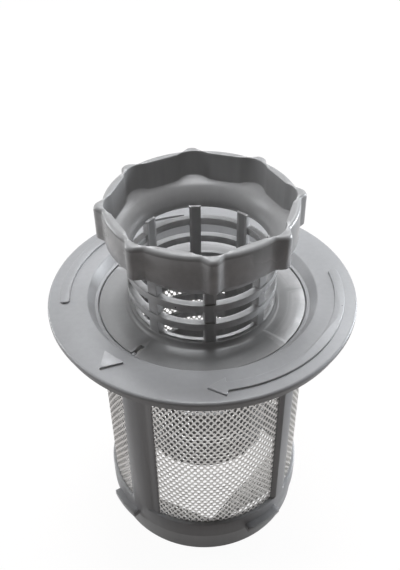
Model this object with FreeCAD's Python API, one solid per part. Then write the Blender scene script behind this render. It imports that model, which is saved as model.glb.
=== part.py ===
import FreeCAD, Part
import math
import os
from FreeCAD import Vector

# Twist-in filter unit of a dishwasher sump, in millimetres, standing on its bottom ring.
# Three pieces: the coarse filter (grip ring, funnel, lattice basket), the frame of the
# micro filter (flange, seat, ribs, spigot) and the perforated sleeve moulded into it.
# Heights called "above the flange" are measured from the flange's upper face.

# Driving dimensions
FLANGE_RADIUS = 62.5
TOTAL_HEIGHT = 165.3
GRIP_TOP = 43.3
FLANGE_Z = TOTAL_HEIGHT - GRIP_TOP
LOBES = 8
LOBE_PITCH = 360.0 / LOBES

# Grip ring
GRIP_BOTTOM = 29.6
TIP_RADIUS = 39.9
TIP_HALF_ANGLE = 6.3
TIP_NOSE_ANGLE = 0.9
TIP_NOSE = 0.35
BAY_RADIUS = 37.0
INNER_TIP_RADIUS = 36.1
INNER_TIP_HALF_ANGLE = 11.0
INNER_CORNER_RADIUS = 33.95
RIM_BEVEL = 1.0

# Lattice basket
BASKET_INNER = 27.2
RING_OUTER = 30.0
RING_PITCH = 8.95
RING_HEIGHT = 3.2
BASE_TOP = -1.8
FUNNEL_LIP_Z = BASE_TOP + 3 * RING_PITCH - RING_HEIGHT
RIB_INNER = 26.3
RIB_OUTER = 29.6
RIB_HALF_WIDTH = 2.15

# Dish and key slot
FOOT_RADIUS = 31.9
DISH_RADIUS = 42.4
DISH_TOP = -4.6
SEAT_Z = -6.6
SLOT_ANGLE = -45.0
SLOT_WIDTH = 2.1
SLOT_START = 36.2

# Lower basket
CUP_RADIUS = 28.8
LOWER_BOTTOM = -80.0
LOWER_WINDOW_TOP = -19.5
LOWER_PITCH = 10.0
LOWER_WINDOW_HEIGHT = 5.6
LOWER_ROWS = 3
OPEN_SECTOR_START = -205.0
OPEN_SECTOR_ANGLE = 90.0
FLOOR_THICKNESS = 1.8

# Micro filter frame
FLANGE_PLATE = 2.0
RECESS_RADIUS = 46.6
LEDGE_Z = -3.2
LEDGE_OUTER = 45.2
LEDGE_INNER = 43.0
SEAT_INNER = 40.6
COLLAR_OUTER = 61.0
COLLAR_DEPTH = 5.4
SLEEVE_RADIUS = 43.3
SLEEVE_THICKNESS = 0.4
SLEEVE_TOP = -14.0
SLEEVE_BOTTOM = -103.0
SLEEVE_FLATS = 32
FLAT_PITCH = 360.0 / SLEEVE_FLATS
GAP_ROWS = 4
GAP_WIDTH = 6.4
GAP_HEIGHT = 12.6
RIBS = [(-43.5, 19.5), (45.0, 12.5), (135.0, 12.5), (-135.0, 12.5)]
RIB_THICKNESS = 2.0
SPIGOT_RADIUS = 44.0
SPIGOT_WALL = 2.4
PLUG_LENGTH = 11.0
SHOULDER = 1.0
LUG_COUNT = 4


def polar(radius, angle, z=0.0):
    """Point at an angle counted from the front (-Y) towards +X."""
    a = math.radians(angle)
    return Vector(radius * math.sin(a), -radius * math.cos(a), z)


def revolved(points):
    """Solid of revolution about Z of a closed profile given as (radius, height)."""
    corners = [Vector(r, 0, z) for r, z in points]
    face = Part.Face(Part.makePolygon(corners + corners[:1]))
    return face.revolve(Vector(0, 0, 0), Vector(0, 0, 1), 360)


def tube(outer, inner, bottom, top):
    return revolved([(inner, bottom), (outer, bottom), (outer, top), (inner, top)])


def sector(inner, outer, start, span, bottom, top):
    """Block between two radii over an angle, counted as in polar()."""
    corners = [Vector(inner, 0, bottom), Vector(outer, 0, bottom),
               Vector(outer, 0, top), Vector(inner, 0, top)]
    face = Part.Face(Part.makePolygon(corners + corners[:1]))
    block = face.revolve(Vector(0, 0, 0), Vector(0, 0, 1), span)
    block.rotate(Vector(0, 0, 0), Vector(0, 0, 1), start - 90.0)
    return block


def radial_prism(outline, angle, bottom, top):
    """Prism whose section is given as (radius, sideways) about one radial direction."""
    corners = [Vector(side, -radius, bottom) for radius, side in outline]
    prism = Part.Face(Part.makePolygon(corners + corners[:1])).extrude(
        Vector(0, 0, top - bottom))
    prism.rotate(Vector(0, 0, 0), Vector(0, 0, 1), angle)
    return prism


def outer_outline(inset, z):
    """Outside of the grip ring: eight pointed lobes with round bays between them."""
    bay, shoulder, tip = BAY_RADIUS - inset, TIP_RADIUS - TIP_NOSE - inset, TIP_RADIUS - inset
    edges = []
    for k in range(LOBES):
        middle = k * LOBE_PITCH
        before, after = polar(bay, middle - TIP_HALF_ANGLE, z), polar(bay, middle + TIP_HALF_ANGLE, z)
        left, right = (polar(shoulder, middle + turn, z) for turn in (-TIP_NOSE_ANGLE, TIP_NOSE_ANGLE))
        edges += [Part.LineSegment(before, left).toShape(),
                  Part.Arc(left, polar(tip, middle, z), right).toShape(),
                  Part.LineSegment(right, after).toShape(),
                  Part.Arc(after, polar(bay, middle + LOBE_PITCH / 2, z),
                           polar(bay, middle + LOBE_PITCH - TIP_HALF_ANGLE, z)).toShape()]
    return Part.Wire(edges)


def inner_outline(z):
    """Inside of the grip ring: eight wide scallops with flats between them."""
    corner, half = INNER_CORNER_RADIUS, INNER_TIP_HALF_ANGLE
    edges = []
    for k in range(LOBES):
        middle = k * LOBE_PITCH
        after = polar(corner, middle + half, z)
        edges += [Part.Arc(polar(corner, middle - half, z), polar(INNER_TIP_RADIUS, middle, z),
                           after).toShape(),
                  Part.LineSegment(after, polar(corner, middle + LOBE_PITCH - half, z)).toShape()]
    return Part.Wire(edges)


def column(outline, top):
    """Upright prism on a closed line, up to a height."""
    return Part.Face(outline).extrude(Vector(0, 0, top - outline.BoundBox.ZMin))


def grip_ring():
    """Scalloped ring that the hand turns, with its outer rim bevelled."""
    shoulder = GRIP_TOP - RIM_BEVEL
    rim = Part.makeLoft([outer_outline(0, shoulder), outer_outline(RIM_BEVEL, GRIP_TOP)],
                        True, True)
    wall = column(outer_outline(0, GRIP_BOTTOM), shoulder).fuse(rim)
    return wall.cut(column(inner_outline(GRIP_BOTTOM), GRIP_TOP))


def funnel():
    """Shallow rim that turns down into the basket, its bend laid out as cones."""
    return revolved([
        (TIP_RADIUS, 34.2), (31.2, 30.1), (28.2, 26.4), (BASKET_INNER, FUNNEL_LIP_Z),
        (RING_OUTER, FUNNEL_LIP_Z), (31.6, 26.8), (36.0, GRIP_BOTTOM),
        (TIP_RADIUS, GRIP_BOTTOM)])


def lattice():
    """Two rings and eight ribs set back a little behind them: the open wall of the basket."""
    parts = []
    for row in (1, 2):
        top = BASE_TOP + row * RING_PITCH
        parts.append(tube(RING_OUTER, BASKET_INNER, top - RING_HEIGHT, top))
    outline = [(RIB_INNER, -RIB_HALF_WIDTH), (RIB_INNER, RIB_HALF_WIDTH),
               (RIB_OUTER, RIB_HALF_WIDTH), (RIB_OUTER, -RIB_HALF_WIDTH)]
    for k in range(LOBES):
        parts.append(radial_prism(outline, k * LOBE_PITCH, SEAT_Z + 0.5, FUNNEL_LIP_Z + 1.0))
    return parts


def dish():
    """Round plate that closes the frame's recess, with the foot of the basket on it."""
    plate = revolved([
        (BASKET_INNER, SEAT_Z), (BASKET_INNER, BASE_TOP), (CUP_RADIUS, BASE_TOP),
        (FOOT_RADIUS, DISH_TOP), (DISH_RADIUS, DISH_TOP), (DISH_RADIUS, SEAT_Z)])
    half = SLOT_WIDTH / 2
    slot = radial_prism([(SLOT_START, -half), (SLOT_START, half),
                         (DISH_RADIUS + 2, half), (DISH_RADIUS + 2, -half)],
                        SLOT_ANGLE, SEAT_Z - 1, DISH_TOP + 2)
    return plate.cut(slot)


def lower_basket():
    """Cup that hangs inside the sleeve, with rows of slots on two sides."""
    inner, outer = BASKET_INNER, CUP_RADIUS
    floor_top = LOWER_BOTTOM + FLOOR_THICKNESS
    cup = revolved([(0, LOWER_BOTTOM), (outer, LOWER_BOTTOM), (outer, SEAT_Z),
                    (inner, SEAT_Z), (inner, floor_top), (0, floor_top)])
    openings = []
    for side in (0.0, 180.0):
        for row in range(LOWER_ROWS):
            top = LOWER_WINDOW_TOP - row * LOWER_PITCH
            openings.append(sector(inner - 3, outer + 2, OPEN_SECTOR_START + side,
                                   OPEN_SECTOR_ANGLE, top - LOWER_WINDOW_HEIGHT, top))
    drain = [(8.0, -1.6), (22.0, -6.0), (22.0, 6.0), (8.0, 1.6)]
    for k in range(LOBES):
        openings.append(radial_prism(drain, k * LOBE_PITCH, LOWER_BOTTOM - 1, floor_top + 1))
    return cup.cut(Part.makeCompound(openings))


def coarse_filter():
    bowl = funnel().common(column(outer_outline(0, FUNNEL_LIP_Z), GRIP_TOP))
    body = grip_ring().fuse([bowl, dish(), lower_basket()] + lattice())
    body = body.removeSplitter()
    body.translate(Vector(0, 0, FLANGE_Z))
    return body


def flange():
    """Flange with its edge collar, the stepped recess, the seat and the upper band."""
    band_outer = SLEEVE_RADIUS + SLEEVE_THICKNESS / 2 + 1.2
    return revolved([
        (RECESS_RADIUS, 0.0), (FLANGE_RADIUS, 0.0),
        (FLANGE_RADIUS, -FLANGE_PLATE), (COLLAR_OUTER, -FLANGE_PLATE),
        (COLLAR_OUTER, -COLLAR_DEPTH), (COLLAR_OUTER - 2.0, -COLLAR_DEPTH),
        (COLLAR_OUTER - 2.0, -FLANGE_PLATE), (LEDGE_OUTER + 3.2, -FLANGE_PLATE),
        (band_outer, LEDGE_Z - 3.0), (band_outer, SLEEVE_TOP - 2.0),
        (SEAT_INNER, SLEEVE_TOP - 2.0), (SEAT_INNER, SEAT_Z), (LEDGE_INNER, SEAT_Z),
        (LEDGE_INNER, LEDGE_Z), (LEDGE_OUTER, LEDGE_Z)])


def frame_rib(angle, span):
    """Upright moulded over the sleeve, with its outer face crowned."""
    inner = SLEEVE_RADIUS - SLEEVE_THICKNESS / 2 - 0.8
    face_radius = SLEEVE_RADIUS + 0.6
    crown = SLEEVE_RADIUS + RIB_THICKNESS
    half = span / 2
    bottom, top = SLEEVE_BOTTOM - 2.0, SLEEVE_TOP - 1.0
    a, b = polar(inner, angle - half, bottom), polar(face_radius, angle - half, bottom)
    c, d = polar(face_radius, angle + half, bottom), polar(inner, angle + half, bottom)
    wire = Part.Wire([Part.LineSegment(a, b).toShape(),
                      Part.Arc(b, polar(crown, angle, bottom), c).toShape(),
                      Part.LineSegment(c, d).toShape(),
                      Part.Arc(d, polar(inner, angle, bottom), a).toShape()])
    return Part.Face(wire).extrude(Vector(0, 0, top - bottom))


def spigot():
    """Bottom ring that plugs into the sump, with bayonet lugs above a plain stretch."""
    bottom, top = -FLANGE_Z, SLEEVE_BOTTOM + 2.0
    inner = SPIGOT_RADIUS - SPIGOT_WALL
    ring = revolved([
        (inner, bottom), (SPIGOT_RADIUS, bottom), (SPIGOT_RADIUS, bottom + PLUG_LENGTH),
        (SPIGOT_RADIUS + SHOULDER, bottom + PLUG_LENGTH), (SPIGOT_RADIUS + SHOULDER, top),
        (inner, top)])
    lugs = []
    for k in range(LUG_COUNT):
        start = k * 360.0 / LUG_COUNT + 20.0
        lugs.append(sector(SPIGOT_RADIUS - 1, SPIGOT_RADIUS + 4.0, start, 22.0,
                           bottom + 12.0, bottom + 15.0))
    return [ring] + lugs


def key():
    """Small rib on the seat that enters the dish's slot."""
    half = SLOT_WIDTH / 2 - 0.35
    return radial_prism([(SEAT_INNER + 0.1, -half), (SEAT_INNER + 0.1, half),
                         (LEDGE_INNER + 0.8, half), (LEDGE_INNER + 0.8, -half)],
                        SLOT_ANGLE, SEAT_Z - 0.5, DISH_TOP - 0.3)


def filter_frame():
    ribs = [frame_rib(angle, span) for angle, span in RIBS]
    body = flange().fuse(ribs + spigot() + [key()]).removeSplitter()
    body.translate(Vector(0, 0, FLANGE_Z))
    return body


def facetted_column(radius, bottom, top):
    """Upright column whose flats touch the given radius with their middles."""
    reach = radius / math.cos(math.radians(FLAT_PITCH / 2))
    corners = [polar(reach, (k + 0.5) * FLAT_PITCH, bottom) for k in range(SLEEVE_FLATS)]
    return Part.Face(Part.makePolygon(corners + corners[:1])).extrude(
        Vector(0, 0, top - bottom))


def diamond(angle, z):
    """Tool for one gap: an upright diamond pushed through the sheet square to its flat."""
    start = -SLEEVE_RADIUS - 2
    corners = [Vector(-GAP_WIDTH / 2, start, z), Vector(0, start, z + GAP_HEIGHT / 2),
               Vector(GAP_WIDTH / 2, start, z), Vector(0, start, z - GAP_HEIGHT / 2)]
    gap = Part.Face(Part.makePolygon(corners + corners[:1])).extrude(Vector(0, 4, 0))
    gap.rotate(Vector(0, 0, 0), Vector(0, 0, 1), angle)
    return gap


def mesh_sleeve():
    """Perforated sheet bent in narrow flats; its fine holes stand as diamond gaps here."""
    sheet = facetted_column(SLEEVE_RADIUS, SLEEVE_BOTTOM, SLEEVE_TOP).cut(
        facetted_column(SLEEVE_RADIUS - SLEEVE_THICKNESS, SLEEVE_BOTTOM - 1, SLEEVE_TOP + 1))
    spacing = (SLEEVE_TOP - SLEEVE_BOTTOM) / (GAP_ROWS + 1)
    gaps = []
    for k in range(SLEEVE_FLATS):
        angle = k * FLAT_PITCH - 180.0
        if any(abs(angle - rib) < (span + FLAT_PITCH) / 2 for rib, span in RIBS):
            continue
        stagger = spacing / 4 if k % 2 else -spacing / 4
        for row in range(GAP_ROWS):
            gaps.append(diamond(angle, SLEEVE_BOTTOM + (row + 1) * spacing + stagger))
    sheet = sheet.cut(Part.makeCompound(gaps))
    sheet.translate(Vector(0, 0, FLANGE_Z))
    return sheet


def main():
    os.makedirs("parts", exist_ok=True)
    pieces = {"coarse_filter": coarse_filter(), "filter_frame": filter_frame(),
              "mesh_sleeve": mesh_sleeve()}
    for name, shape in pieces.items():
        solid = shape.Solids[0] if len(shape.Solids) == 1 else shape
        print(name, "solids", len(shape.Solids), "valid", solid.isValid(),
              "volume %.0f" % solid.Volume)
        solid.exportStep("parts/" + name + ".step")


main()
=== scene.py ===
import math
import bmesh
import bpy
from mathutils import Matrix, Vector


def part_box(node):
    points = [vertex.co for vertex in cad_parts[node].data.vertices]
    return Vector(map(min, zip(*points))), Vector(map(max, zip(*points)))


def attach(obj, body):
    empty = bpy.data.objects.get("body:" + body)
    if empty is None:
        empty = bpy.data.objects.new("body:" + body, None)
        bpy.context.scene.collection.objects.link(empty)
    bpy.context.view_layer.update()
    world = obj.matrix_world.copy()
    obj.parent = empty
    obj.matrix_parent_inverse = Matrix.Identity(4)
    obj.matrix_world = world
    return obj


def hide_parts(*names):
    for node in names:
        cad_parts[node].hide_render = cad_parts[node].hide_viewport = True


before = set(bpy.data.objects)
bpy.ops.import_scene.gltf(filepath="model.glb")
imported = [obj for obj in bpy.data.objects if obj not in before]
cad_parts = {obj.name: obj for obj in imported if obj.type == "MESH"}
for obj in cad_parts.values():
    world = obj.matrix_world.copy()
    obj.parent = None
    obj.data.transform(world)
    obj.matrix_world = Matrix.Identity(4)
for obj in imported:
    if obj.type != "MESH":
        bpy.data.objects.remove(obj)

# Twist-in dishwasher filter: the grey coarse filter, the grey frame with its raised
# arrows, and the perforated steel sleeve. Radii and heights in millimetres, heights
# from the flange's upper face, angles in degrees from the front (-Y) towards +X.

MM = 0.001
FLANGE_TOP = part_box("filter_frame")[1].z
SPIGOT_FOOT = -FLANGE_TOP / MM
BODY_OF_FRAME = "micro_filter"
BODY_OF_BASKET = "coarse_filter_body"

# Coarse filter
LOBES = 8
LOBE_PITCH = 360.0 / LOBES
GRIP_TOP = (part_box("coarse_filter")[1].z - FLANGE_TOP) / MM
GRIP_BOTTOM = 29.6
GRIP_OUTER = 37.0
GRIP_FLAT = 33.27
SKIRT_OUTER = 36.0
RIM_ROUND = 1.6
INNER_RIM_ROUND = 0.4
PARTING_Z = 41.5
PARTING_DRAFT = 0.1
NOSE_RISE = 2.9
NOSE_SHOULDER_RISE = 2.55
NOSE_ANGLE = 2.3
OUTER_LOBE_ANGLE = 6.3
OUTER_LOBE_BLEND = 0.9
SCALLOP_PEAK = 36.1
SCALLOP_RADIUS = 8.95
SCALLOP_ANGLE = 11.0
FUNNEL_SLOPE = 0.466
FUNNEL_CORNER = (27.3, 28.3)
FUNNEL_BEND = 5.5
FUNNEL_FOOT_Z = 31.1
NECK_CORNER = (31.6, 26.8)
NECK_BEND = 2.4
WALL_INNER = 27.2
RING_OUTER = 30.0
RIB_OUTER = 29.4
RIB_INNER = 26.3
RIB_EDGE = 4.2
RIB_INNER_EDGE = 5.2
LIP_Z = 21.85
BASE_TOP = -1.8
BASE_LIP = 28.7
BASE_GROOVE = ((28.8, -2.5), (29.7, -2.7))
CUP_OUTER = 28.8
CUP_BEND = 1.0
DISH_TOP = -4.6
FOOT_CORNER = (30.1, DISH_TOP)
FOOT_BEND = 1.8
SEAT_Z = -6.6
DISH_RADIUS = 42.1
DISH_WIDE_RADIUS = 42.65
DISH_WIDE_HALF = 43.0
DISH_INNER = 33.4
DISH_STEPS = (43.4, 233.5)
DISH_STEP_LIFT = 0.5
DISH_STEP_SPAN = 80.0
DISH_STEP_FACE = 0.25
CUP_BOTTOM = (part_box("coarse_filter")[0].z - FLANGE_TOP) / MM
CUP_FLOOR = CUP_BOTTOM + 1.8
CUP_SLOT_TOPS = (-19.2, -29.2, -39.2)
CUP_SLOT_HEIGHT = 6.2
CUP_SLOT_HALF = 47.65
CUP_SLOT_MIDDLES = (19.85, 199.85)
DRAIN_INNER = 8.0
DRAIN_OUTER = 22.0
DRAIN_HALF = 14.6
KEY_ANGLE = -44.2
KEY_SLOT_WIDTH = 2.1
KEY_SLOT_START = 36.7
KEY_SLOT_PAST_EDGE = 3.0
KEY_SLOT_CUT_HEIGHT = 5.0

# Bottom and top of each row of windows in the basket's wall, and the soft lip above them
WINDOW_ROWS = ((16.1, LIP_Z), (7.15, 12.9), (BASE_TOP, 3.95))
LIP_FADE = ((0.05, 0.6), (0.1, 0.8))

# Least radius and height at which a corner of the turned basket is part of the grip's
# outer or inner wall, and the limits of radius and height on its other walls
OUTER_WALL_FROM = (34.5, 29.0)
INNER_WALL_FROM = (32.5, 30.5)
FUNNEL_FADE_Z = 33.0
BASE_LIP_RADII = (28.5, 29.5)
BASE_LIP_HEIGHTS = (-2.6, -1.7)
LATTICE_INSIDE = 27.4
LATTICE_HEIGHTS = (-6.2, LIP_Z + 0.7)
LATTICE_RADII = (26.0, 30.5)
CUP_RADII = (26.0, 29.5)
COLUMN_SLACK = 0.05

# Turns from a step of the dish within which a column becomes the step's foot or its head
STEP_FOOT_TURNS = (0.2, 1.3)
STEP_HEAD_TURNS = (-1.4, 0.2)

# Frame of the micro filter
FLANGE_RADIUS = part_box("filter_frame")[1].x / MM
FLANGE_ROUND = 1.0
RECESS_RADIUS = 46.6
RECESS_ROUND = 0.5
RAMP_FOOT = 42.75
RAMP_FOOT_Z = -4.3
LEDGE_OUTER = 44.1
PLATE_UNDER = -2.0
PLATE_INNER = 48.4
COLLAR_RADIUS = 61.0
COLLAR_THICKNESS = 2.0
COLLAR_FOOT_Z = -5.4
BAND_OUTER = 44.7
BAND_TOP = -6.2
SEAT_INNER = 40.6
KEY_INSET = 0.6
KEY_LENGTH = 2.2
KEY_WIDTH = 1.5
KEY_HEIGHT = 2.4
KEY_BELOW_DISH = 0.1
RIB_TOP = -16.0
RIB_BOTTOM = -101.0
RIB_FACE = 43.9
RIB_BACK = 42.3
RIB_CROWN = 45.3
RIB_FLANK = 2.5
RIB_SHEET = (42.0, 46.0)
SPIGOT_OUTER = 44.0
SPIGOT_SHOULDER = 45.0
SPIGOT_INNER = 41.6
SPIGOT_ROUND = 0.8
PLUG_TOP = SPIGOT_FOOT + 11.0
LUG_TOP = SPIGOT_FOOT + 15.0
LUG_BOTTOM = SPIGOT_FOOT + 12.0
LUG_REACH = 3.0
LUG_START = 20.0
LUG_SPAN = 22.0
LUG_PITCH = 90.0
FRAME_COLUMNS = 144
FRAME_TURN = 1.25
PLAIN_RIBS = (45.0, 135.0, 225.0)
PLAIN_RIB_HALF = 6.25
SEAM_RIB_START = -53.75
SEAM_RIB_END = -33.75
SEAM_RIB_FULL = 8.8
SEAM_RIB_LOWER = 14.0
SEAM_EDGE_RISE = 0.4
SEAM_FULL_DROP = 0.1
SEAM_LOWER_DROP = 0.55

# Perforated sleeve
SLEEVE_RADIUS = 43.3
SLEEVE_THICKNESS = 0.4
SLEEVE_TOP = (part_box("mesh_sleeve")[1].z - FLANGE_TOP) / MM
SLEEVE_BOTTOM = (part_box("mesh_sleeve")[0].z - FLANGE_TOP) / MM
HOLE_COLUMNS = 100
HOLE_PITCH_Z = 3.78
HOLE_WIDE = 1.62
HOLE_TALL = 2.3
HIDDEN_BEHIND_RIB = 1.2
HIDDEN_BEHIND_BAND = 0.5

# Raised marks on the flange
ARROW_INNER = 53.5
ARROW_OUTER = 57.4
ARROW_TIP = (55.4, -4.4)
ARROW_BARBS = ((59.6, 2.2), (51.2, 3.1))
ARROW_START = 3.0
ARROW_ROUND = 1.5
ARROW_STEP = 2.4
MARK_RISE = 0.95
MARK_ROOT = 0.3
MARK_EDGE = 0.32
POINTER_ANGLE = -45.0
POINTER_BASE = 51.4
POINTER_HALF = 5.4
POINTER_APEX = 58.9
POINTER_ROUND = 0.3

# Finishes
MOULDED_EDGE = 0.2
BASKET_GREY = (0.37, 0.367, 0.367)
BASKET_SATIN = 0.32
FRAME_GREY = (0.375, 0.375, 0.382)
FRAME_SATIN = 0.33
SPECK_DARK = (0.03, 0.03, 0.03)
STEEL = (0.82, 0.805, 0.785)

# Camera, floor and lamps. A lamp has its name, place, size, power and colour.
CAMERA_PLACE = (-0.0223, -0.2231, 0.3062)
CAMERA_ROLL = -0.66
CAMERA_LENS = 44.82
CAMERA_SHIFT = (-0.0038, 0.0054)
FLOOR_CARD = (0.2, 0.178, 0.17)
FLOOR_GLOW = 1.26
FLOOR_WHITE = 0.76
FLOOR_GLOSS = 0.46
ROOM_GLOW = (1.0, 0.9, 0.84)
ROOM_STRENGTH = 0.03
LAMPS = (
    ("rear_right", (0.6, 0.7, 0.9), 0.35, 3.8, (0.94, 0.97, 1.0)),
    ("high_rear", (0.0, 0.7, 1.1), 0.45, 4.2, (0.95, 0.975, 1.0)),
    ("high_left", (-0.9, 0.3, 0.8), 0.4, 2.7, (0.95, 0.975, 1.0)),
    ("overhead", (0.0, 0.1, 1.2), 0.35, 6.3, (0.96, 0.975, 1.0)),
    ("side_left", (-0.89, 0.44, 0.14), 0.4, 4.3, (0.96, 0.98, 1.0)),
    ("side_right", (0.95, 0.32, 0.14), 0.4, 12.0, (0.9, 0.95, 1.0)),
)


def place(radius, height, angle=0.0):
    """Point in metres for a radius, a height and an angle in the object's own measures."""
    turn = math.radians(angle)
    return Vector((radius * MM * math.sin(turn), -radius * MM * math.cos(turn),
                   FLANGE_TOP + height * MM))


def radius_of(point):
    return math.hypot(point.x, point.y) / MM


def height_of(point):
    return (point.z - FLANGE_TOP) / MM


def angle_of(point):
    return math.degrees(math.atan2(point.x, -point.y))


def across_radius(angle):
    """Level direction square to the radius at an angle."""
    return Vector((math.cos(math.radians(angle)), math.sin(math.radians(angle)), 0))


def turn_between(angle, middle):
    """Signed turn from one angle to another, between -180 and 180."""
    return (angle - middle + 180.0) % 360.0 - 180.0


def inside(value, limits):
    return limits[0] < value < limits[1]


def leave_edit():
    if bpy.context.object and bpy.context.object.mode != "OBJECT":
        bpy.ops.object.mode_set(mode="OBJECT")


def clear_selection():
    leave_edit()
    bpy.ops.object.select_all(action="DESELECT")


def enter_edit(piece, kind="VERT"):
    clear_selection()
    piece.select_set(True)
    bpy.context.view_layer.objects.active = piece
    bpy.ops.object.mode_set(mode="EDIT")
    bpy.ops.mesh.select_mode(type=kind)
    bpy.ops.mesh.select_all(action="DESELECT")


def choose(piece, kind, wanted):
    """Selects, in edit mode, the vertices, edges or faces that a test accepts."""
    mesh = bmesh.from_edit_mesh(piece.data)
    bpy.ops.mesh.select_all(action="DESELECT")
    for element in getattr(mesh, kind):
        if wanted(element):
            element.select_set(True)
    mesh.select_flush_mode()
    bmesh.update_edit_mesh(piece.data)


def apply_modifiers(piece):
    clear_selection()
    piece.select_set(True)
    bpy.context.view_layer.objects.active = piece
    for modifier in list(piece.modifiers):
        bpy.ops.object.modifier_apply(modifier=modifier.name)


def outline(name, corners):
    """Flat closed outline of (radius, height) corners in the plane through the front."""
    clear_selection()
    bpy.ops.mesh.primitive_circle_add(vertices=len(corners), radius=0.01, fill_type="NGON")
    piece = bpy.context.object
    piece.name = name
    piece.data.name = name
    for vertex, (radius, height) in zip(piece.data.vertices, corners):
        vertex.co = place(radius, height)
    return piece


def round_corners(piece, corners, reach, steps):
    """Rounds the named corners of an outline by a vertex bevel."""
    enter_edit(piece)
    spots = [place(radius, height) for radius, height in corners]
    choose(piece, "verts", lambda v: any((v.co - spot).length < 1e-6 for spot in spots))
    bpy.ops.mesh.bevel(offset_type="OFFSET", offset=reach * MM, segments=steps,
                       affect="VERTICES", profile=0.5)
    leave_edit()


def turn_outline(piece, columns):
    """Spins an outline to a closed body whose columns stand at the given angles."""
    enter_edit(piece)
    bpy.ops.mesh.select_all(action="SELECT")
    bpy.ops.mesh.delete(type="ONLY_FACE")
    bpy.ops.mesh.select_all(action="SELECT")
    bpy.ops.mesh.spin(steps=len(columns), angle=2 * math.pi, center=(0, 0, 0), axis=(0, 0, 1))
    bpy.ops.mesh.select_all(action="SELECT")
    bpy.ops.mesh.remove_doubles(threshold=1e-6)
    bpy.ops.mesh.normals_make_consistent(inside=False)
    leave_edit()
    step = 360.0 / len(columns)
    for vertex in piece.data.vertices:
        radius = radius_of(vertex.co)
        if radius > 0.01:
            column = round(angle_of(vertex.co) / step) % len(columns)
            vertex.co = place(radius, height_of(vertex.co), columns[column])


def open_windows(piece, is_open, rims):
    """Deletes the faces that a test accepts and walls each opening between its two rims."""
    enter_edit(piece, "FACE")
    choose(piece, "faces", is_open)
    bpy.ops.mesh.delete(type="FACE")
    bpy.ops.mesh.select_mode(type="EDGE")
    for rim in rims:
        choose(piece, "edges", lambda e: e.is_boundary and rim(e))
        bpy.ops.mesh.bridge_edge_loops()
    leave_edit()


def soften(piece, width, angle=35.0, segments=2):
    """Rounds every edge that is sharper than an angle and shades the faces smoothly."""
    clear_selection()
    piece.select_set(True)
    bpy.context.view_layer.objects.active = piece
    rounding = piece.modifiers.new("rounding", "BEVEL")
    rounding.width = width * MM
    rounding.segments = segments
    rounding.limit_method = "ANGLE"
    rounding.angle_limit = math.radians(angle)
    rounding.use_clamp_overlap = True
    apply_modifiers(piece)
    bpy.ops.object.shade_smooth_by_angle(angle=math.radians(angle))


def lobe_offset(angle):
    """Turn from the nearest lobe, between -22.5 and 22.5 degrees."""
    return (angle + LOBE_PITCH / 2) % LOBE_PITCH - LOBE_PITCH / 2


def outer_lobe(offset):
    """How far the grip's outer wall stands out at a turn from the lobe's middle."""
    turn = abs(offset)
    if turn < NOSE_ANGLE:
        return NOSE_RISE - (NOSE_RISE - NOSE_SHOULDER_RISE) * (turn / NOSE_ANGLE) ** 2
    slope = NOSE_SHOULDER_RISE / (OUTER_LOBE_ANGLE - NOSE_ANGLE)
    past = OUTER_LOBE_ANGLE - turn
    if abs(past) < OUTER_LOBE_BLEND:
        return slope * (past + OUTER_LOBE_BLEND) ** 2 / (4 * OUTER_LOBE_BLEND)
    return max(0.0, slope * past)


def inner_wall(offset):
    """Radius of the grip's inner wall: a round scallop at each lobe, flats between them."""
    turn = math.radians(abs(offset))
    if abs(offset) >= SCALLOP_ANGLE - 0.01:
        return GRIP_FLAT / math.cos(math.radians(LOBE_PITCH / 2) - turn)
    middle = SCALLOP_PEAK - SCALLOP_RADIUS
    return middle * math.cos(turn) + math.sqrt(SCALLOP_RADIUS ** 2 - (middle * math.sin(turn)) ** 2)


def basket_columns():
    """Angles of the basket's columns: close at lobes and ribs, wider between them."""
    half = (0.0, 1.2, NOSE_ANGLE, 3.2, RIB_EDGE, 5.4, OUTER_LOBE_ANGLE, 7.2, 9.0, SCALLOP_ANGLE,
            12.8, DRAIN_HALF, 17.2, 19.8)
    sector = list(half) + [LOBE_PITCH / 2] + [LOBE_PITCH - a for a in reversed(half[1:])]
    return [lobe * LOBE_PITCH + a for lobe in range(LOBES) for a in sector]


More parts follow.
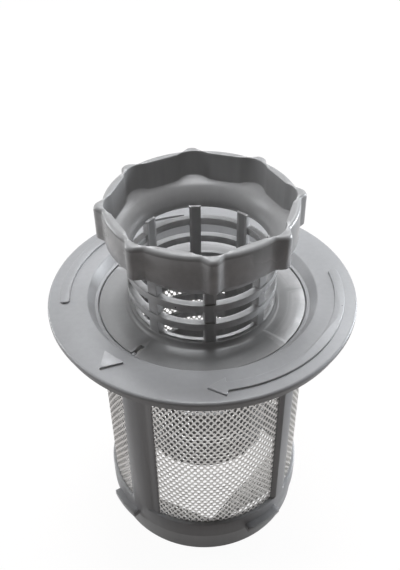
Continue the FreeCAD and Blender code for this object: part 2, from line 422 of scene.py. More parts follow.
def basket_outline():
    """Corners of half the coarse filter's section, outside downwards and back up inside."""
    slot_rows = []
    for top in CUP_SLOT_TOPS:
        slot_rows += [top, top - CUP_SLOT_HEIGHT]
    lattice = []
    for low, high in WINDOW_ROWS:
        lattice += [(RING_OUTER, high), (RIB_OUTER, high), (RIB_OUTER, low), (RING_OUTER, low)]
    lattice = lattice[:-2]
    outside = [(GRIP_OUTER - PARTING_DRAFT, GRIP_TOP),
               (GRIP_OUTER - PARTING_DRAFT, PARTING_Z + PARTING_DRAFT),
               (GRIP_OUTER, PARTING_Z - PARTING_DRAFT), (GRIP_OUTER, GRIP_BOTTOM),
               (SKIRT_OUTER, GRIP_BOTTOM), NECK_CORNER] + lattice
    outside += [(BASE_LIP, BASE_TOP), *BASE_GROOVE, FOOT_CORNER, (DISH_INNER, DISH_TOP),
                (KEY_SLOT_START, DISH_TOP), (DISH_RADIUS, DISH_TOP), (DISH_RADIUS, SEAT_Z),
                (CUP_OUTER, SEAT_Z)]
    outside += [(CUP_OUTER, z) for z in slot_rows]
    bottom = [(CUP_OUTER, CUP_BOTTOM), (DRAIN_OUTER, CUP_BOTTOM), (DRAIN_INNER, CUP_BOTTOM),
              (0.0, CUP_BOTTOM), (0.0, CUP_FLOOR), (DRAIN_INNER, CUP_FLOOR),
              (DRAIN_OUTER, CUP_FLOOR), (WALL_INNER, CUP_FLOOR)]
    wall = [(WALL_INNER, z) for z in reversed(slot_rows)] + [(WALL_INNER, SEAT_Z)]
    wall.append((WALL_INNER, SEAT_Z + 0.5))
    for low, high in reversed(WINDOW_ROWS):
        wall += [(WALL_INNER, low), (WALL_INNER, high)]
    wall += [(WALL_INNER + out, LIP_Z + up) for out, up in LIP_FADE]
    wall += [FUNNEL_CORNER, (GRIP_FLAT, FUNNEL_FOOT_Z), (GRIP_FLAT, GRIP_TOP)]
    return outside + bottom + wall


def mould_basket(piece):
    """Gives the turned body its lobes, scallops, ribs and the ramps of the dish."""
    for vertex in piece.data.vertices:
        radius, height = radius_of(vertex.co), height_of(vertex.co)
        angle = angle_of(vertex.co)
        offset = lobe_offset(angle)
        on_rib = abs(offset) < RIB_EDGE + COLUMN_SLACK
        if radius > OUTER_WALL_FROM[0] and height > OUTER_WALL_FROM[1]:
            radius += outer_lobe(offset)
        elif radius > INNER_WALL_FROM[0] and height > INNER_WALL_FROM[1]:
            rise = inner_wall(offset) - GRIP_FLAT
            radius += rise
            height += FUNNEL_SLOPE * rise * max(0.0, min(1.0, FUNNEL_FADE_Z - height))
        elif on_rib and inside(radius, BASE_LIP_RADII) and inside(height, BASE_LIP_HEIGHTS):
            radius = RIB_OUTER
        elif on_rib and radius < LATTICE_INSIDE and inside(height, LATTICE_HEIGHTS):
            if abs(offset) > RIB_EDGE - COLUMN_SLACK:
                offset = math.copysign(RIB_INNER_EDGE, offset)
                angle += math.copysign(RIB_INNER_EDGE - RIB_EDGE, offset)
            radius = RIB_INNER / math.cos(math.radians(offset))
        elif radius > DISH_INNER - 0.1 and abs(height - DISH_TOP) < 0.3:
            if radius > DISH_RADIUS - 0.1 and within(angle, 0.0, DISH_WIDE_HALF):
                radius = DISH_WIDE_RADIUS
            angle, lift = dish_ramp(angle)
            height += lift
        elif radius > DISH_RADIUS - 0.1 and abs(height - SEAT_Z) < 0.3:
            if within(angle, 0.0, DISH_WIDE_HALF):
                radius = DISH_WIDE_RADIUS
        vertex.co = place(radius, height, angle)


def dish_ramp(angle):
    """Lift of the dish up to each of its two radial steps, and the column's own angle there."""
    for step in DISH_STEPS:
        turn = turn_between(angle, step)
        if inside(turn, STEP_FOOT_TURNS):
            return step + DISH_STEP_FACE, 0.0
        if inside(turn, STEP_HEAD_TURNS):
            return step, DISH_STEP_LIFT
        if -DISH_STEP_SPAN < turn < 0:
            return angle, DISH_STEP_LIFT * (1.0 + turn / DISH_STEP_SPAN)
    return angle, 0.0


def within(angle, middle, half):
    return abs(turn_between(angle, middle)) < half + COLUMN_SLACK


def basket_face_is_open(face):
    """True for faces in the lattice's windows, the cup's side slots and its drain slots."""
    centre = face.calc_center_median()
    radius, height, angle = radius_of(centre), height_of(centre), angle_of(centre)
    offset = lobe_offset(angle)
    upright = abs(face.normal.z) < 0.5
    if upright and inside(radius, LATTICE_RADII) and abs(offset) > RIB_EDGE + 0.3:
        if any(inside(height, row) for row in WINDOW_ROWS):
            return True
    by_slot = any(within(angle, middle, CUP_SLOT_HALF) for middle in CUP_SLOT_MIDDLES)
    if by_slot and inside(radius, CUP_RADII):
        if any(inside(height, (top - CUP_SLOT_HEIGHT, top)) for top in CUP_SLOT_TOPS):
            return True
    on_floor = height < CUP_FLOOR + 0.3 and DRAIN_INNER < radius < DRAIN_OUTER
    return on_floor and abs(offset) < DRAIN_HALF


def basket_rims():
    """One test for each opening of the basket, true for the edges of its two rims."""
    rims = []

    def rim_test(middle, half, low, high):
        def test(edge):
            return all(within(angle_of(v.co), middle, half)
                       and inside(height_of(v.co), (low - COLUMN_SLACK, high + COLUMN_SLACK))
                       for v in edge.verts)
        return test

    for lobe in range(LOBES):
        middle = (lobe + 0.5) * LOBE_PITCH
        for low, high in WINDOW_ROWS:
            rims.append(rim_test(middle, LOBE_PITCH / 2 - RIB_EDGE, low, high))
        rims.append(rim_test(lobe * LOBE_PITCH, DRAIN_HALF, CUP_BOTTOM, CUP_FLOOR))
    for middle in CUP_SLOT_MIDDLES:
        for top in CUP_SLOT_TOPS:
            rims.append(rim_test(middle, CUP_SLOT_HALF, top - CUP_SLOT_HEIGHT, top))
    return rims


def cut_key_slot(piece):
    """Cuts the slot in the dish's edge that slides over the frame's key."""
    clear_selection()
    length = DISH_RADIUS + KEY_SLOT_PAST_EDGE - KEY_SLOT_START
    bpy.ops.mesh.primitive_cube_add(size=1.0)
    cutter = bpy.context.object
    for vertex in cutter.data.vertices:
        across = vertex.co.x * KEY_SLOT_WIDTH
        radius = KEY_SLOT_START + (0.5 - vertex.co.y) * length
        height = (DISH_TOP + SEAT_Z) / 2 + vertex.co.z * KEY_SLOT_CUT_HEIGHT
        vertex.co = place(radius, height, KEY_ANGLE) + across_radius(KEY_ANGLE) * across * MM
    cut = piece.modifiers.new("key_slot", "BOOLEAN")
    cut.operation = "DIFFERENCE"
    cut.solver = "EXACT"
    cut.object = cutter
    apply_modifiers(piece)
    bpy.data.objects.remove(cutter)


def coarse_basket():
    """The grip, funnel, lattice, dish and cup as the one moulding they are."""
    piece = outline("coarse_basket", basket_outline())
    round_corners(piece, [FUNNEL_CORNER], FUNNEL_BEND, 8)
    round_corners(piece, [NECK_CORNER], NECK_BEND, 5)
    round_corners(piece, [FOOT_CORNER], FOOT_BEND, 6)
    round_corners(piece, [(GRIP_OUTER - PARTING_DRAFT, GRIP_TOP)], RIM_ROUND, 6)
    round_corners(piece, [(GRIP_FLAT, GRIP_TOP), (GRIP_FLAT, FUNNEL_FOOT_Z)], INNER_RIM_ROUND, 3)
    round_corners(piece, [(CUP_OUTER, CUP_BOTTOM), (WALL_INNER, CUP_FLOOR)], CUP_BEND, 3)
    turn_outline(piece, basket_columns())
    mould_basket(piece)
    open_windows(piece, basket_face_is_open, basket_rims())
    cut_key_slot(piece)
    soften(piece, MOULDED_EDGE)
    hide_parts("coarse_filter")
    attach(piece, BODY_OF_BASKET)
    return piece


def frame_outline():
    """Corners of the frame's section, from the recess over the flange, down and back up."""
    return [(RECESS_RADIUS, 0.0), (FLANGE_RADIUS, 0.0), (FLANGE_RADIUS, PLATE_UNDER),
            (COLLAR_RADIUS, PLATE_UNDER), (COLLAR_RADIUS, COLLAR_FOOT_Z),
            (COLLAR_RADIUS - COLLAR_THICKNESS, COLLAR_FOOT_Z),
            (COLLAR_RADIUS - COLLAR_THICKNESS, PLATE_UNDER), (PLATE_INNER, PLATE_UNDER),
            (BAND_OUTER, BAND_TOP), (BAND_OUTER, RIB_TOP + 0.4), (RIB_FACE, RIB_TOP),
            (RIB_FACE, RIB_BOTTOM), (SPIGOT_SHOULDER, RIB_BOTTOM - 0.6),
            (SPIGOT_SHOULDER, LUG_TOP), (SPIGOT_SHOULDER, LUG_BOTTOM),
            (SPIGOT_SHOULDER, PLUG_TOP), (SPIGOT_OUTER, PLUG_TOP), (SPIGOT_OUTER, SPIGOT_FOOT),
            (SPIGOT_INNER, SPIGOT_FOOT), (SPIGOT_INNER, RIB_BOTTOM - 0.6),
            (RIB_BACK, RIB_BOTTOM), (RIB_BACK, RIB_TOP), (SEAT_INNER, RIB_TOP),
            (SEAT_INNER, SEAT_Z), (RAMP_FOOT, SEAT_Z), (RAMP_FOOT, RAMP_FOOT_Z),
            (LEDGE_OUTER, RAMP_FOOT_Z)]


def rib_rise(angle):
    """Radius of a rib's outer face, or None between the ribs."""
    for middle in PLAIN_RIBS:
        turn = abs(turn_between(angle, middle))
        if turn < PLAIN_RIB_HALF + COLUMN_SLACK:
            share = min(1.0, (PLAIN_RIB_HALF - turn) / RIB_FLANK)
            return RIB_FACE + (RIB_CROWN - RIB_FACE) * share
    turn = turn_between(angle, SEAM_RIB_START)
    if inside(turn, (-COLUMN_SLACK, SEAM_RIB_END - SEAM_RIB_START + COLUMN_SLACK)):
        if turn < 0.1:
            return RIB_FACE + SEAM_EDGE_RISE
        if turn < SEAM_RIB_FULL:
            return RIB_CROWN - SEAM_FULL_DROP
        return RIB_CROWN - SEAM_LOWER_DROP if turn < SEAM_RIB_LOWER else RIB_FACE
    return None


def frame_face_is_open(face):
    """True for the faces of the frame's wall between its ribs."""
    centre = face.calc_center_median()
    between = inside(height_of(centre), (RIB_BOTTOM, RIB_TOP))
    on_wall = inside(radius_of(centre), RIB_SHEET)
    return between and on_wall and rib_rise(angle_of(centre)) is None


def frame_rims():
    """One test for each of the four tall windows between the ribs."""
    starts = [SEAM_RIB_END] + [middle + PLAIN_RIB_HALF for middle in PLAIN_RIBS]
    ends = [middle - PLAIN_RIB_HALF for middle in PLAIN_RIBS] + [SEAM_RIB_START + 360.0]

    def rim_test(start, end):
        middle, half = (start + end) / 2, (end - start) / 2
        return lambda edge: all(within(angle_of(v.co), middle, half) for v in edge.verts)

    return [rim_test(start, end) for start, end in zip(starts, ends)]


def raise_lugs(piece):
    """Pulls the four bayonet lugs out of the spigot's wall."""
    enter_edit(piece, "FACE")

    def on_lug(face):
        centre = face.calc_center_median()
        turn = (angle_of(centre) - LUG_START) % LUG_PITCH
        return (LUG_BOTTOM < height_of(centre) < LUG_TOP and turn < LUG_SPAN
                and radius_of(centre) > SPIGOT_SHOULDER - 0.5)

    choose(piece, "faces", on_lug)
    bpy.ops.mesh.extrude_region_shrink_fatten(
        TRANSFORM_OT_shrink_fatten={"value": LUG_REACH * MM, "use_even_offset": False})
    leave_edit()


def seat_key():
    """Small rib on the seat that the dish's slot slides over."""
    clear_selection()
    bpy.ops.mesh.primitive_cube_add(size=1.0)
    key = bpy.context.object
    key.name = "seat_key"
    for vertex in key.data.vertices:
        across = vertex.co.x * KEY_WIDTH
        radius = SEAT_INNER + KEY_INSET + (0.5 - vertex.co.y) * KEY_LENGTH
        height = DISH_TOP - KEY_BELOW_DISH + (vertex.co.z - 0.5) * KEY_HEIGHT
        vertex.co = place(radius, height, KEY_ANGLE) + across_radius(KEY_ANGLE) * across * MM
    return key


def micro_frame():
    """The flange, recess, ribs and spigot as the one moulding they are."""
    piece = outline("micro_frame", frame_outline())
    round_corners(piece, [(FLANGE_RADIUS, 0.0)], FLANGE_ROUND, 4)
    round_corners(piece, [(RECESS_RADIUS, 0.0)], RECESS_ROUND, 4)
    round_corners(piece, [(SPIGOT_OUTER, SPIGOT_FOOT)], SPIGOT_ROUND, 3)
    turn_outline(piece, [FRAME_TURN + k * 360.0 / FRAME_COLUMNS for k in range(FRAME_COLUMNS)])
    for vertex in piece.data.vertices:
        height, angle = height_of(vertex.co), angle_of(vertex.co)
        rise = rib_rise(angle)
        if rise and abs(radius_of(vertex.co) - RIB_FACE) < 0.05 and RIB_BOTTOM - 0.3 < height:
            vertex.co = place(rise, height, angle)
    open_windows(piece, frame_face_is_open, frame_rims())
    raise_lugs(piece)
    key = seat_key()
    clear_selection()
    key.select_set(True)
    piece.select_set(True)
    bpy.context.view_layer.objects.active = piece
    bpy.ops.object.join()
    soften(piece, MOULDED_EDGE)
    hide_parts("filter_frame")
    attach(piece, BODY_OF_FRAME)
    return piece


def raised_mark(name, corners, rounded, reach):
    """Flat mark on the flange from (radius, angle) corners, raised with soft edges."""
    clear_selection()
    bpy.ops.mesh.primitive_circle_add(vertices=len(corners), radius=0.01, fill_type="NGON")
    mark = bpy.context.object
    mark.name = name
    mark.data.name = name
    for vertex, (radius, angle) in zip(mark.data.vertices, corners):
        vertex.co = place(radius, -MARK_ROOT, angle)
    enter_edit(mark)
    spots = [place(radius, -MARK_ROOT, angle) for radius, angle in rounded]
    choose(mark, "verts", lambda v: any((v.co - spot).length < 1e-6 for spot in spots))
    bpy.ops.mesh.bevel(offset_type="OFFSET", offset=reach * MM, segments=4, affect="VERTICES")
    bpy.ops.mesh.select_all(action="SELECT")
    bpy.ops.mesh.extrude_region_move(
        TRANSFORM_OT_translate={"value": (0, 0, (MARK_RISE + MARK_ROOT) * MM)})
    bpy.ops.mesh.select_all(action="SELECT")
    bpy.ops.mesh.normals_make_consistent(inside=False)
    leave_edit()
    soften(mark, MARK_EDGE, 40.0, 3)
    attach(mark, BODY_OF_FRAME)
    return mark


def turn_arrow(name, turn, tail):
    """Arrow that shows the locking turn: a curved bar with a barbed head, turned to its place."""
    count = round((tail - ARROW_START) / ARROW_STEP)
    along = [ARROW_START + (tail - ARROW_START) * k / count for k in range(count + 1)]
    corners = [ARROW_TIP, ARROW_BARBS[0]] + [(ARROW_OUTER, a) for a in along]
    corners += [(ARROW_INNER, a) for a in reversed(along)] + [ARROW_BARBS[1]]
    ends = [(ARROW_OUTER, tail + turn), (ARROW_INNER, tail + turn)]
    return raised_mark(name, [(r, a + turn) for r, a in corners], ends, ARROW_ROUND)


def seat_pointer():
    """Triangle that points at the place where the dish's slot meets the seat's key."""
    corners = [(POINTER_APEX, POINTER_ANGLE), (POINTER_BASE, POINTER_ANGLE + POINTER_HALF),
               (POINTER_BASE, POINTER_ANGLE - POINTER_HALF)]
    return raised_mark("seat_pointer", corners, corners, POINTER_ROUND)


def hole_tile():
    """One cell of the perforated sheet: an eight-sided hole in an upright diamond."""
    wide = 2 * math.pi * SLEEVE_RADIUS / HOLE_COLUMNS
    clear_selection()
    bpy.ops.mesh.primitive_circle_add(vertices=8, radius=0.5, fill_type="NOTHING")
    tile = bpy.context.object
    tile.name = "mesh_sheet"
    for k, vertex in enumerate(tile.data.vertices):
        turn = math.radians(22.5 + 45 * k)
        vertex.co = (HOLE_WIDE / 2 * math.cos(turn) * MM, 0, HOLE_TALL / 2 * math.sin(turn) * MM)
    enter_edit(tile)
    bpy.ops.mesh.select_all(action="SELECT")
    bpy.ops.mesh.extrude_region_move()
    sheet = bmesh.from_edit_mesh(tile.data)
    for vertex in sheet.verts:
        if vertex.select:
            sideways = abs(vertex.co.x) * HOLE_TALL > abs(vertex.co.z) * HOLE_WIDE
            corner = (wide / 2, 0, 0) if sideways else (0, 0, HOLE_PITCH_Z / 2)
            vertex.co = Vector((math.copysign(corner[0], vertex.co.x) * MM, 0,
                                math.copysign(corner[2], vertex.co.z) * MM))
    bmesh.update_edit_mesh(tile.data)
    bpy.ops.mesh.remove_doubles(threshold=1e-6)
    leave_edit()
    return tile, wide


def close_hidden_holes(sheet, wide):
    """Draws together the holes that lie moulded inside the frame's ribs and bands."""
    half_wide, half_tall = wide / 2, HOLE_PITCH_Z / 2
    across = [(rib - PLAIN_RIB_HALF, rib + PLAIN_RIB_HALF) for rib in PLAIN_RIBS]
    across.append((SEAM_RIB_START + 360.0, SEAM_RIB_END + 360.0))

    def hidden(vertex):
        column = round(vertex.co.x / MM / half_wide)
        row = round(vertex.co.z / MM / half_tall)
        if (column + row) % 2 == 1:
            dx = vertex.co.x / MM - column * half_wide
            dz = vertex.co.z / MM - row * half_tall
            if abs(dx) / half_wide > abs(dz) / half_tall:
                column += 1 if dx > 0 else -1
            else:
                row += 1 if dz > 0 else -1
        angle = column * 180.0 / HOLE_COLUMNS % 360.0
        height = SLEEVE_BOTTOM + (row - 2) * half_tall
        under_rib = any(start + HIDDEN_BEHIND_RIB < angle < end - HIDDEN_BEHIND_RIB
                        for start, end in across)
        in_band = not RIB_BOTTOM - HIDDEN_BEHIND_BAND < height < RIB_TOP + HIDDEN_BEHIND_BAND
        return vertex.is_boundary and (under_rib or in_band)

    enter_edit(sheet)
    choose(sheet, "verts", hidden)
    bpy.ops.mesh.merge(type="COLLAPSE")
    leave_edit()


def perforated_sleeve():
    """Thin steel sheet with staggered holes, rolled round and given its thickness."""
    tile, wide = hole_tile()
    neighbour = tile.copy()
    neighbour.data = tile.data.copy()
    bpy.context.collection.objects.link(neighbour)
    for vertex in neighbour.data.vertices:
        vertex.co += Vector((wide / 2 * MM, 0, HOLE_PITCH_Z / 2 * MM))
    clear_selection()
    neighbour.select_set(True)
    tile.select_set(True)
    bpy.context.view_layer.objects.active = tile
    bpy.ops.object.join()
    tall = SLEEVE_TOP - SLEEVE_BOTTOM
    around = tile.modifiers.new("around", "ARRAY")
    around.count = HOLE_COLUMNS
    around.use_relative_offset = False
    around.use_constant_offset = True
    around.constant_offset_displace = (wide * MM, 0, 0)
    upward = tile.modifiers.new("upward", "ARRAY")
    upward.count = math.ceil(tall / HOLE_PITCH_Z) + 2
    upward.use_relative_offset = False
    upward.use_constant_offset = True
    upward.constant_offset_displace = (0, 0, HOLE_PITCH_Z * MM)
    apply_modifiers(tile)
    enter_edit(tile)
    bpy.ops.mesh.select_all(action="SELECT")
    bpy.ops.mesh.remove_doubles(threshold=2e-6)
    leave_edit()
    close_hidden_holes(tile, wide)
    enter_edit(tile)
    for level, below in ((HOLE_PITCH_Z, True), (HOLE_PITCH_Z + tall, False)):
        bpy.ops.mesh.select_all(action="SELECT")
        bpy.ops.mesh.bisect(plane_co=(0, 0, level * MM), plane_no=(0, 0, 1),
                            clear_inner=below, clear_outer=not below)
    leave_edit()
    for vertex in tile.data.vertices:
        angle = vertex.co.x / MM / wide * 360.0 / HOLE_COLUMNS
        vertex.co = place(SLEEVE_RADIUS, SLEEVE_BOTTOM + vertex.co.z / MM - HOLE_PITCH_Z, angle)
    enter_edit(tile)
    bpy.ops.mesh.select_all(action="SELECT")
    bpy.ops.mesh.remove_doubles(threshold=2e-6)
    bpy.ops.mesh.normals_make_consistent(inside=False)
    leave_edit()
    wall = tile.modifiers.new("wall", "SOLIDIFY")
    wall.thickness = SLEEVE_THICKNESS * MM
    wall.offset = 0.0
    apply_modifiers(tile)
    bpy.ops.object.shade_smooth_by_angle(angle=math.radians(30))
    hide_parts("mesh_sleeve")
    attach(tile, BODY_OF_FRAME)
    return tile


def node(tree, kind, wires=(), **settings):
    """Adds a node with its settings, and its inputs either wired or set to a value."""
    made = tree.nodes.new(kind)
    for name, value in settings.items():
        setattr(made, name, value)
    for socket, source in wires:
        if isinstance(source, bpy.types.NodeSocket):
            tree.links.new(source, made.inputs[socket])
        else:
            made.inputs[socket].default_value = source
    return made


def maths(tree, operation, *values):
    return node(tree, "ShaderNodeMath", enumerate(values), operation=operation).outputs[0]


def spread(tree, value, low, high, start, end):
    """Spreads a value's range over another one, clamped at both ends."""
    wires = (("Value", value), ("From Min", low), ("From Max", high),
             ("To Min", start), ("To Max", end))
    return node(tree, "ShaderNodeMapRange", wires).outputs["Result"]


def new_group(name, inputs, outputs):
    """Shader group with named number inputs besides Vector, and named number outputs."""
    group = bpy.data.node_groups.new(name, "ShaderNodeTree")
    group.interface.new_socket("Vector", in_out="INPUT", socket_type="NodeSocketVector")
    for label, value in inputs:
        socket = group.interface.new_socket(label, in_out="INPUT", socket_type="NodeSocketFloat")
        socket.default_value = value
    for label in outputs:
        group.interface.new_socket(label, in_out="OUTPUT", socket_type="NodeSocketFloat")
    return group, group.nodes.new("NodeGroupInput").outputs, group.nodes.new("NodeGroupOutput")


def use_group(tree, group, vector, **values):
    made = node(tree, "ShaderNodeGroup", node_tree=group)
    tree.links.new(vector, made.inputs["Vector"])
    for label, value in values.items():
        made.inputs[label].default_value = value
    return made.outputs


def noise(tree, vector, scale, detail=2.0, rough=0.5):
    wires = (("Vector", vector), ("Scale", scale), ("Detail", detail), ("Roughness", rough))
    return node(tree, "ShaderNodeTexNoise", wires).outputs["Fac"]


def surface_grain_group():
    """Fine eroded grain of a mould's wall, and the slow unevenness of the wall under it."""
    group, entry, result = new_group("surface_grain", [("Grain", 1600.0), ("Sink", 170.0)],
                                     ["Height", "Mottle"])
    fine = noise(group, entry["Vector"], entry["Grain"], 3.0, 0.6)
    slow = noise(group, entry["Vector"], entry["Sink"], 2.0)
    broad = noise(group, entry["Vector"], 34.0, 4.0, 0.55)
    height = maths(group, "ADD", maths(group, "MULTIPLY", fine, 0.35), slow)
    group.links.new(height, result.inputs["Height"])
    group.links.new(spread(group, broad, 0.3, 0.7, 0.0, 1.0), result.inputs["Mottle"])
    return group


def drag_lines_group():
    """Fine lines left along one direction by the draw of a mould or by a roller."""
    group, entry, result = new_group("drag_lines", [("Across", 420.0), ("Upright", 1.0)], ["Lines"])
    stretch_flat = maths(group, "SUBTRACT", 1.0, maths(group, "MULTIPLY", entry["Upright"], 0.96))
    stretch_side = maths(group, "ADD", 0.04, maths(group, "MULTIPLY", entry["Upright"], 0.96))
    ways = node(group, "ShaderNodeCombineXYZ",
                (("X", stretch_side), ("Y", stretch_side), ("Z", stretch_flat)))
    stretched = node(group, "ShaderNodeVectorMath",
                     ((0, entry["Vector"]), (1, ways.outputs[0])), operation="MULTIPLY")
    lines = noise(group, stretched.outputs[0], entry["Across"], 3.0, 0.65)
    group.links.new(spread(group, lines, 0.35, 0.65, 0.0, 1.0), result.inputs["Lines"])
    return group


def specks_group():
    """Sparse dark specks, as of burnt granules near the surface of a moulding."""
    group, entry, result = new_group("specks", [("Spacing", 75.0), ("Size", 0.022), ("Share", 0.3)],
                                     ["Mask"])
    wires = (("Vector", entry["Vector"]), ("Scale", entry["Spacing"]))
    cells = node(group, "ShaderNodeTexVoronoi", wires)
    chance = node(group, "ShaderNodeSeparateColor", [(0, cells.outputs["Color"])])
    present = maths(group, "LESS_THAN", chance.outputs[0], entry["Share"])
    near = maths(group, "LESS_THAN", cells.outputs["Distance"], entry["Size"])
    group.links.new(maths(group, "MULTIPLY", present, near), result.inputs["Mask"])
    return group


def painted_edge_highlight_group():
    """Mask of the outer edges, where the colour is painted lighter as an edge highlight and the
    roughness is lowered as polished.
    """
    group, entry, result = new_group("edge_polish_and_painted_highlight", [("Start", 0.53), ("Full", 0.62)], ["Mask"])
    point = node(group, "ShaderNodeNewGeometry").outputs["Pointiness"]
    broken = noise(group, entry["Vector"], 130.0, 3.0)
    wires = (("Value", point), ("From Min", entry["Start"]), ("From Max", entry["Full"]))
    edge = node(group, "ShaderNodeMapRange", wires).outputs["Result"]
    mask = maths(group, "MULTIPLY", edge, spread(group, broken, 0.3, 0.6, 0.35, 1.0))
    group.links.new(mask, result.inputs["Mask"])
    return group


def start_material(name):
    material = bpy.data.materials.new(name)
    material.use_nodes = True
    tree = material.node_tree
    place_in_object = node(tree, "ShaderNodeTexCoord").outputs["Object"]
    return material, tree, tree.nodes["Principled BSDF"], place_in_object


def tint(tree, share, light, dark):
    """Colour between two by a share from 0, the first, to 1, the second."""
    wires = ((0, share), (6, (*light, 1)), (7, (*dark, 1)))
    return node(tree, "ShaderNodeMix", wires, data_type="RGBA").outputs[2]


def grey_moulding(name, groups, colour, roughness):
    """Satin moulded polypropylene: grain, draw lines, mottling, a painted highlight on the outer
    edges with polished roughness there, and specks.
    """
    material, tree, shader, vector = start_material(name)
    grain = use_group(tree, groups["surface_grain"], vector)
    draw = use_group(tree, groups["drag_lines"], vector, Upright=1.0)
    edge_polish_and_highlight = use_group(tree, groups["edge_polish_and_painted_highlight"], vector)
    specks = use_group(tree, groups["specks"], vector)
    darker = [channel * 0.88 for channel in colour]
    # Lighter colour on the outer edges, set by the edge mask: a painted edge highlight
    edge_highlight_tone = [min(1.0, channel * 1.5) for channel in colour]
    uneven = maths(tree, "ADD", maths(tree, "MULTIPLY", grain["Mottle"], 0.6),
                   maths(tree, "MULTIPLY", draw["Lines"], 0.4))
    body = tint(tree, uneven, colour, darker)
    # Mixes the painted edge highlight into the body colour along the outer edges
    with_edge_highlight = node(tree, "ShaderNodeMix", ((0, edge_polish_and_highlight["Mask"]), (6, body), (7, (*edge_highlight_tone, 1))),
                data_type="RGBA").outputs[2]
    spotted = node(tree, "ShaderNodeMix", ((0, specks["Mask"]), (6, with_edge_highlight), (7, (*SPECK_DARK, 1))),
                   data_type="RGBA").outputs[2]
    tree.links.new(spotted, shader.inputs["Base Color"])
    satin = spread(tree, grain["Mottle"], 0.0, 1.0, roughness - 0.015, roughness + 0.025)
    polished = maths(tree, "SUBTRACT", satin, maths(tree, "MULTIPLY", edge_polish_and_highlight["Mask"], 0.12))
    tree.links.new(polished, shader.inputs["Roughness"])
    height = maths(tree, "ADD", grain["Height"], maths(tree, "MULTIPLY", draw["Lines"], 0.25))
    bump = node(tree, "ShaderNodeBump",
                (("Height", height), ("Strength", 0.22), ("Distance", 0.00012)))
    tree.links.new(bump.outputs[0], shader.inputs["Normal"])
    shader.inputs["Specular IOR Level"].default_value = 0.45
    return material


def rolled_steel(name, groups, colour):
    """Thin stainless sheet: roller lines round the sleeve and a faintly stained surface."""
    material, tree, shader, vector = start_material(name)
    rolled = use_group(tree, groups["drag_lines"], vector, Upright=0.0, Across=900.0)
    grain = use_group(tree, groups["surface_grain"], vector, Grain=3000.0, Sink=300.0)
    dull = [channel * 0.8 for channel in colour]
    stained = maths(tree, "ADD", maths(tree, "MULTIPLY", grain["Mottle"], 0.6),
                    maths(tree, "MULTIPLY", rolled["Lines"], 0.4))
    tree.links.new(tint(tree, stained, colour, dull), shader.inputs["Base Color"])
    tree.links.new(spread(tree, rolled["Lines"], 0.0, 1.0, 0.3, 0.46), shader.inputs["Roughness"])
    height = maths(tree, "ADD", rolled["Lines"], maths(tree, "MULTIPLY", grain["Height"], 0.5))
    bump = node(tree, "ShaderNodeBump",
                (("Height", height), ("Strength", 0.15), ("Distance", 0.00005)))
    tree.links.new(bump.outputs[0], shader.inputs["Normal"])
    shader.inputs["Metallic"].default_value = 1.0
    return material


def pale_floor():
    """Floor that a camera sees nearly white with the object's shadow, and light as grey card."""
    material = bpy.data.materials.new("pale_floor")
    material.use_nodes = True
    tree = material.node_tree
    card = tree.nodes["Principled BSDF"]
    card.inputs["Base Color"].default_value = (*FLOOR_CARD, 1)
    card.inputs["Roughness"].default_value = 0.9
    white = node(tree, "ShaderNodeEmission",
                 [("Color", (1, 1, 1, 1)), ("Strength", FLOOR_GLOW)])
    ray = node(tree, "ShaderNodeLightPath").outputs
    share = maths(tree, "MAXIMUM", maths(tree, "MULTIPLY", ray["Is Camera Ray"], FLOOR_WHITE),
                  maths(tree, "MULTIPLY", ray["Is Glossy Ray"], FLOOR_GLOSS))
    both = node(tree, "ShaderNodeMixShader", ((0, share), (1, card.outputs[0]),
                                              (2, white.outputs[0])))
    tree.links.new(both.outputs[0], tree.nodes["Material Output"].inputs["Surface"])
    return material


def dress(piece, material):
    piece.data.materials.clear()
    piece.data.materials.append(material)


def set_camera():
    """Camera at the photograph's place, aimed at the middle of the flange's upper face."""
    clear_selection()
    bpy.ops.object.camera_add(location=CAMERA_PLACE)
    camera = bpy.context.object
    camera.name = "camera"
    aim = Vector((0, 0, FLANGE_TOP)) - camera.location
    turn = aim.to_track_quat("-Z", "Y").to_matrix().to_4x4()
    roll = math.radians(CAMERA_ROLL)
    camera.rotation_euler = (turn @ Matrix.Rotation(roll, 4, "Z")).to_euler()
    camera.data.lens = CAMERA_LENS
    camera.data.sensor_width = 36.0
    camera.data.shift_x, camera.data.shift_y = CAMERA_SHIFT
    camera.data.clip_start, camera.data.clip_end = 0.01, 20.0
    bpy.context.scene.camera = camera


def set_stage():
    clear_selection()
    bpy.ops.mesh.primitive_plane_add(size=6.0, location=(0, 0, 0))
    floor = bpy.context.object
    floor.name = "floor"
    dress(floor, pale_floor())


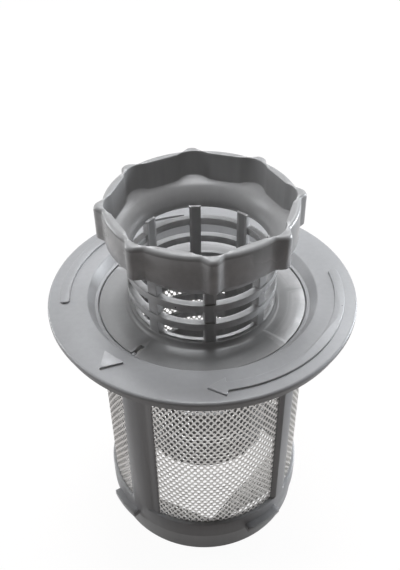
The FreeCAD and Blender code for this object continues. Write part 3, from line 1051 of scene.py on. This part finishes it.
def soft_lamp(name, spot, size, power, colour):
    clear_selection()
    bpy.ops.object.light_add(type="AREA", location=spot)
    lamp = bpy.context.object
    lamp.name = name
    lamp.data.size = size
    lamp.data.energy = power
    lamp.data.color = colour
    lamp.rotation_euler = (Vector((0, 0, FLANGE_TOP)) - lamp.location).to_track_quat(
        "-Z", "Y").to_euler()


def set_light():
    """White surroundings for the camera and for gloss, and soft lamps behind and beside."""
    world = bpy.data.worlds.new("studio")
    bpy.context.scene.world = world
    world.use_nodes = True
    tree = world.node_tree
    room = tree.nodes["Background"]
    room.inputs["Color"].default_value = (*ROOM_GLOW, 1)
    room.inputs["Strength"].default_value = ROOM_STRENGTH
    white = node(tree, "ShaderNodeBackground", [("Color", (1, 1, 1, 1)), ("Strength", 1.0)])
    ray = node(tree, "ShaderNodeLightPath").outputs
    way = node(tree, "ShaderNodeTexCoord").outputs["Generated"]
    ahead = node(tree, "ShaderNodeSeparateXYZ", [(0, way)]).outputs["Y"]
    mirrored = maths(tree, "MAXIMUM", ray["Is Glossy Ray"], ray["Is Transmission Ray"])
    backdrop = maths(tree, "MULTIPLY", mirrored, spread(tree, ahead, -0.6, 0.3, 0.25, 1.0))
    seen = maths(tree, "MAXIMUM", ray["Is Camera Ray"], backdrop)
    both = node(tree, "ShaderNodeMixShader", ((0, seen), (1, room.outputs[0]),
                                              (2, white.outputs[0])))
    tree.links.new(both.outputs[0], tree.nodes["World Output"].inputs["Surface"])
    for name, spot, size, power, colour in LAMPS:
        soft_lamp(name, spot, size, power, colour)


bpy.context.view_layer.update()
set_camera()
set_stage()
set_light()
basket = coarse_basket()
housing = micro_frame()
marks = [turn_arrow("turn_arrow_front", 0.0, 95.5), turn_arrow("turn_arrow_back", 180.0, 93.5),
         seat_pointer()]
sleeve = perforated_sleeve()
effects = {group.name: group for group in (surface_grain_group(), drag_lines_group(),
                                           specks_group(), painted_edge_highlight_group())}
dress(basket, grey_moulding("grey_polypropylene_basket", effects, BASKET_GREY, BASKET_SATIN))
frame_plastic = grey_moulding("grey_polypropylene_frame", effects, FRAME_GREY, FRAME_SATIN)
for part in [housing] + marks:
    dress(part, frame_plastic)
dress(sleeve, rolled_steel("perforated_stainless", effects, STEEL))
bpy.context.scene.view_settings.view_transform = "Standard"
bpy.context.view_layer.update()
clear_selection()
